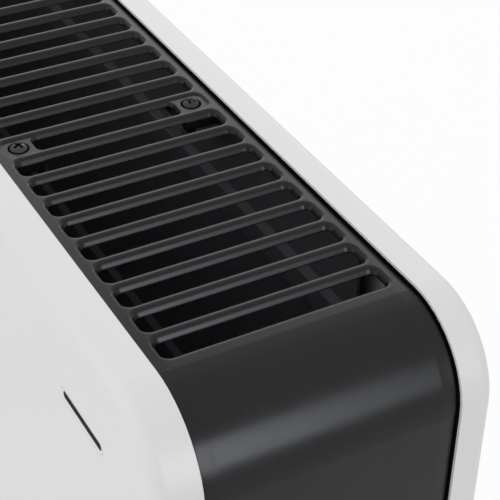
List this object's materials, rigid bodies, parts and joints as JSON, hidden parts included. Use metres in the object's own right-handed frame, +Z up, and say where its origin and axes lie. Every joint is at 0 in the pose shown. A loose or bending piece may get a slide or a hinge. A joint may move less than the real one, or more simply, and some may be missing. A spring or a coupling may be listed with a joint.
{
  "type": "convector radiator",
  "caption": "Floor-standing electric convector radiator with white steel panels, a dark slotted grille band wrapping over the top and ends, recessed controls and arched feet.",
  "frame": {"origin": "centre of the footprint, on the floor under the foot pads", "axes": "+X along the radiator towards the control end, front panel faces -Y, +Z up"},
  "size_m": [0.572, 0.23, 0.41],
  "materials": {
    "white_enamel": "smooth satin powder coat",
    "dark_plastic": "satin, fine grain",
    "knob_plastic": "satin",
    "black_plastic": "matt",
    "black_screw": "black oxide",
    "zinc_steel": "zinc plated",
    "black_sheet": "matt heat-resistant coating",
    "tube_steel": "stainless",
    "fin_aluminium": "mill",
    "ceramic": "unglazed",
    "lens": "clear amber",
    "lamp": "clear",
    "rubber": "matt",
    "lead_sleeve": "silicone sleeve"
  },
  "bodies": {
    "casing": {"front_panel": "white_enamel", "rear_panel": "white_enamel", "grille_band": "dark_plastic", "grille_screws": "black_screw", "right_end_cover": "dark_plastic", "left_end_cover": "dark_plastic", "end_cover_screws": "black_screw", "base_plate": "white_enamel", "base_screws": "zinc_steel", "front_liner": "black_sheet", "rear_liner": "black_sheet", "right_partition": "black_sheet", "left_partition": "black_sheet", "partition_screws": "zinc_steel", "lower_heating_tube": "tube_steel", "upper_heating_tube": "tube_steel", "lower_fin_pack": "fin_aluminium", "upper_fin_pack": "fin_aluminium", "tube_bushes": "ceramic", "tube_terminals": "tube_steel", "tube_hanger": "zinc_steel", "thermal_cutout": "zinc_steel", "thermostat_body": "black_plastic", "selector_body": "black_plastic", "control_nuts": "zinc_steel", "control_plate": "black_plastic", "indicator_lens": "lens", "indicator_lamp": "lamp", "terminal_block": "ceramic", "cord_inlet_bush": "rubber", "supply_leads": "lead_sleeve", "left_foot": "black_plastic", "right_foot": "black_plastic", "foot_screws": "zinc_steel", "foot_nuts": "zinc_steel", "foot_pads": "rubber"},
    "thermostat_dial": {"thermostat_knob": "knob_plastic", "thermostat_shaft": "tube_steel"},
    "selector_dial": {"selector_knob": "knob_plastic", "selector_shaft": "tube_steel"}
  },
  "joints": [
    {"name": "thermostat_turn", "type": "hinge", "parent": "casing", "child": "thermostat_dial", "pos_m": [0.26965, 0, 0.1753], "axis": [1, 0, 0], "range_deg": [-270, 0]},
    {"name": "selector_turn", "type": "hinge", "parent": "casing", "child": "selector_dial", "pos_m": [0.26965, 0, 0.1093], "axis": [1, 0, 0], "range_deg": [-180, 0]}
  ]
}
